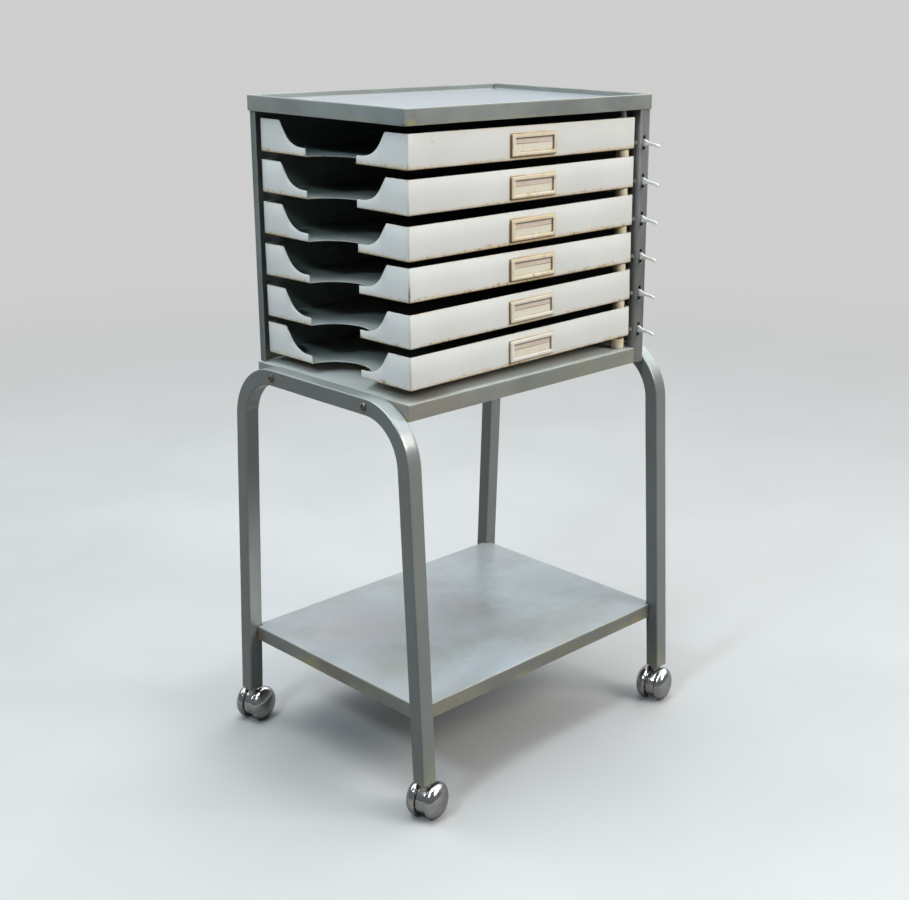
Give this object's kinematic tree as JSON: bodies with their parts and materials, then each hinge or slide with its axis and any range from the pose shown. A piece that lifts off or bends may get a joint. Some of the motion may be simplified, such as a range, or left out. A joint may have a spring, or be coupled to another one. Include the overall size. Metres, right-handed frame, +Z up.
{
  "type": "mobile swing-tray cabinet",
  "caption": "Steel cabinet of shallow trays that swing out about one vertical rod, on bent square-tube legs with a lower shelf and ball casters.",
  "frame": {"origin": "on the floor under the middle of the object", "axes": "+Z up; +X to the right along the long front with the label holders; the front faces -Y and the free, scooped tray ends face -X"},
  "size_m": [0.4512, 0.3778, 0.787],
  "materials": {
    "cabinet_paint": "satin grey-green enamel, worn, light rust at edges",
    "tray_enamel": "aged off-white enamel, yellowed and lightly rusted at edges",
    "label_metal": "cream enamel over pressed steel, rust-stained",
    "lever_enamel": "off-white enamel, chipped",
    "bush_nylon": "yellowed cream moulded bush",
    "bright_steel": "dull plated steel",
    "caster_chrome": "bright chrome plate, slightly pitted"
  },
  "bodies": {
    "cabinet": {"top_pan": "cabinet_paint", "base_pan": "cabinet_paint", "right_side_panel": "cabinet_paint", "back_panel": "cabinet_paint", "rear_left_post": "cabinet_paint", "front_right_post": "cabinet_paint", "pivot_rod": "bright_steel", "pivot_foot_bush": "bush_nylon", "pivot_washer": "bright_steel", "left_frame_tube": "cabinet_paint", "right_frame_tube": "cabinet_paint", "lower_shelf": "cabinet_paint", "frame_bolt_left_front": "bright_steel", "frame_bolt_left_rear": "bright_steel", "frame_bolt_right_front": "bright_steel", "frame_bolt_right_rear": "bright_steel", "caster_plug_front_left": "bright_steel", "caster_plug_front_right": "bright_steel", "caster_plug_rear_left": "bright_steel", "caster_plug_rear_right": "bright_steel"},
    "tray_1": {"tray_1": "tray_enamel", "label_holder_1": "label_metal", "tray_sleeve_1": "bush_nylon"},
    "tray_2": {"tray_2": "tray_enamel", "label_holder_2": "label_metal", "tray_sleeve_2": "bush_nylon"},
    "tray_3": {"tray_3": "tray_enamel", "label_holder_3": "label_metal", "tray_sleeve_3": "bush_nylon"},
    "tray_4": {"tray_4": "tray_enamel", "label_holder_4": "label_metal", "tray_sleeve_4": "bush_nylon"},
    "tray_5": {"tray_5": "tray_enamel", "label_holder_5": "label_metal", "tray_sleeve_5": "bush_nylon"},
    "tray_6": {"tray_6": "tray_enamel", "label_holder_6": "label_metal", "tray_sleeve_6": "bush_nylon"},
    "trip_lever_1": {"trip_lever_1": "lever_enamel"},
    "trip_lever_2": {"trip_lever_2": "lever_enamel"},
    "trip_lever_3": {"trip_lever_3": "lever_enamel"},
    "trip_lever_4": {"trip_lever_4": "lever_enamel"},
    "trip_lever_5": {"trip_lever_5": "lever_enamel"},
    "trip_lever_6": {"trip_lever_6": "lever_enamel"},
    "caster_front_left": {"caster_body_front_left": "caster_chrome", "caster_axle_front_left": "bright_steel"},
    "wheel_a_front_left": {"caster_wheel_a_front_left": "caster_chrome"},
    "wheel_b_front_left": {"caster_wheel_b_front_left": "caster_chrome"},
    "caster_front_right": {"caster_body_front_right": "caster_chrome", "caster_axle_front_right": "bright_steel"},
    "wheel_a_front_right": {"caster_wheel_a_front_right": "caster_chrome"},
    "wheel_b_front_right": {"caster_wheel_b_front_right": "caster_chrome"},
    "caster_rear_left": {"caster_body_rear_left": "caster_chrome", "caster_axle_rear_left": "bright_steel"},
    "wheel_a_rear_left": {"caster_wheel_a_rear_left": "caster_chrome"},
    "wheel_b_rear_left": {"caster_wheel_b_rear_left": "caster_chrome"},
    "caster_rear_right": {"caster_body_rear_right": "caster_chrome", "caster_axle_rear_right": "bright_steel"},
    "wheel_a_rear_right": {"caster_wheel_a_rear_right": "caster_chrome"},
    "wheel_b_rear_right": {"caster_wheel_b_rear_right": "caster_chrome"}
  },
  "joints": [
    {"name": "tray_1_swing", "type": "hinge", "parent": "cabinet", "child": "tray_1", "pos_m": [0.1605, -0.1195, 0.74195], "axis": [0, 0, 1], "range_deg": [0, 95]},
    {"name": "tray_2_swing", "type": "hinge", "parent": "cabinet", "child": "tray_2", "pos_m": [0.1605, -0.1195, 0.69615], "axis": [0, 0, 1], "range_deg": [0, 95]},
    {"name": "tray_3_swing", "type": "hinge", "parent": "cabinet", "child": "tray_3", "pos_m": [0.1605, -0.1195, 0.65035], "axis": [0, 0, 1], "range_deg": [0, 95]},
    {"name": "tray_4_swing", "type": "hinge", "parent": "cabinet", "child": "tray_4", "pos_m": [0.1605, -0.1195, 0.60455], "axis": [0, 0, 1], "range_deg": [0, 95]},
    {"name": "tray_5_swing", "type": "hinge", "parent": "cabinet", "child": "tray_5", "pos_m": [0.1605, -0.1195, 0.55875], "axis": [0, 0, 1], "range_deg": [0, 95]},
    {"name": "tray_6_swing", "type": "hinge", "parent": "cabinet", "child": "tray_6", "pos_m": [0.1605, -0.1195, 0.51295], "axis": [0, 0, 1], "range_deg": [0, 95]},
    {"name": "trip_lever_1_rock", "type": "hinge", "parent": "cabinet", "child": "trip_lever_1", "pos_m": [0.1849, -0.1264, 0.73], "axis": [1, 0, 0], "range_deg": [-20, 20]},
    {"name": "trip_lever_2_rock", "type": "hinge", "parent": "cabinet", "child": "trip_lever_2", "pos_m": [0.1849, -0.1264, 0.6842], "axis": [1, 0, 0], "range_deg": [-20, 20]},
    {"name": "trip_lever_3_rock", "type": "hinge", "parent": "cabinet", "child": "trip_lever_3", "pos_m": [0.1849, -0.1264, 0.6384], "axis": [1, 0, 0], "range_deg": [-20, 20]},
    {"name": "trip_lever_4_rock", "type": "hinge", "parent": "cabinet", "child": "trip_lever_4", "pos_m": [0.1849, -0.1264, 0.5926], "axis": [1, 0, 0], "range_deg": [-20, 20]},
    {"name": "trip_lever_5_rock", "type": "hinge", "parent": "cabinet", "child": "trip_lever_5", "pos_m": [0.1849, -0.1264, 0.5468], "axis": [1, 0, 0], "range_deg": [-20, 20]},
    {"name": "trip_lever_6_rock", "type": "hinge", "parent": "cabinet", "child": "trip_lever_6", "pos_m": [0.1849, -0.1264, 0.501], "axis": [1, 0, 0], "range_deg": [-20, 20]},
    {"name": "wheel_swivel_front_left", "type": "hinge", "parent": "cabinet", "child": "caster_front_left", "pos_m": [-0.20683, -0.16397, 0.04], "axis": [0, 0, 1], "continuous": true},
    {"name": "wheel_swivel_front_right", "type": "hinge", "parent": "cabinet", "child": "caster_front_right", "pos_m": [0.20683, -0.16397, 0.04], "axis": [0, 0, 1], "continuous": true},
    {"name": "wheel_swivel_rear_left", "type": "hinge", "parent": "cabinet", "child": "caster_rear_left", "pos_m": [-0.20683, 0.16397, 0.04], "axis": [0, 0, 1], "continuous": true},
    {"name": "wheel_swivel_rear_right", "type": "hinge", "parent": "cabinet", "child": "caster_rear_right", "pos_m": [0.20683, 0.16397, 0.04], "axis": [0, 0, 1], "continuous": true},
    {"name": "wheel_turn_a_front_left", "type": "hinge", "parent": "caster_front_left", "child": "wheel_a_front_left", "pos_m": [-0.20159, -0.16227, 0.0215], "axis": [-0.309, 0.9511, 0], "continuous": true},
    {"name": "wheel_turn_b_front_left", "type": "hinge", "parent": "caster_front_left", "child": "wheel_b_front_left", "pos_m": [-0.20159, -0.16227, 0.0215], "axis": [-0.309, 0.9511, 0], "continuous": true},
    {"name": "wheel_turn_a_front_right", "type": "hinge", "parent": "caster_front_right", "child": "wheel_a_front_right", "pos_m": [0.20159, -0.16567, 0.0215], "axis": [0.309, -0.9511, 0], "continuous": true},
    {"name": "wheel_turn_b_front_right", "type": "hinge", "parent": "caster_front_right", "child": "wheel_b_front_right", "pos_m": [0.20159, -0.16567, 0.0215], "axis": [0.309, -0.9511, 0], "continuous": true},
    {"name": "wheel_turn_a_rear_left", "type": "hinge", "parent": "caster_rear_left", "child": "wheel_a_rear_left", "pos_m": [-0.20159, 0.16567, 0.0215], "axis": [-0.309, 0.9511, 0], "continuous": true},
    {"name": "wheel_turn_b_rear_left", "type": "hinge", "parent": "caster_rear_left", "child": "wheel_b_rear_left", "pos_m": [-0.20159, 0.16567, 0.0215], "axis": [-0.309, 0.9511, 0], "continuous": true},
    {"name": "wheel_turn_a_rear_right", "type": "hinge", "parent": "caster_rear_right", "child": "wheel_a_rear_right", "pos_m": [0.20159, 0.16227, 0.0215], "axis": [0.309, -0.9511, 0], "continuous": true},
    {"name": "wheel_turn_b_rear_right", "type": "hinge", "parent": "caster_rear_right", "child": "wheel_b_rear_right", "pos_m": [0.20159, 0.16227, 0.0215], "axis": [0.309, -0.9511, 0], "continuous": true}
  ]
}
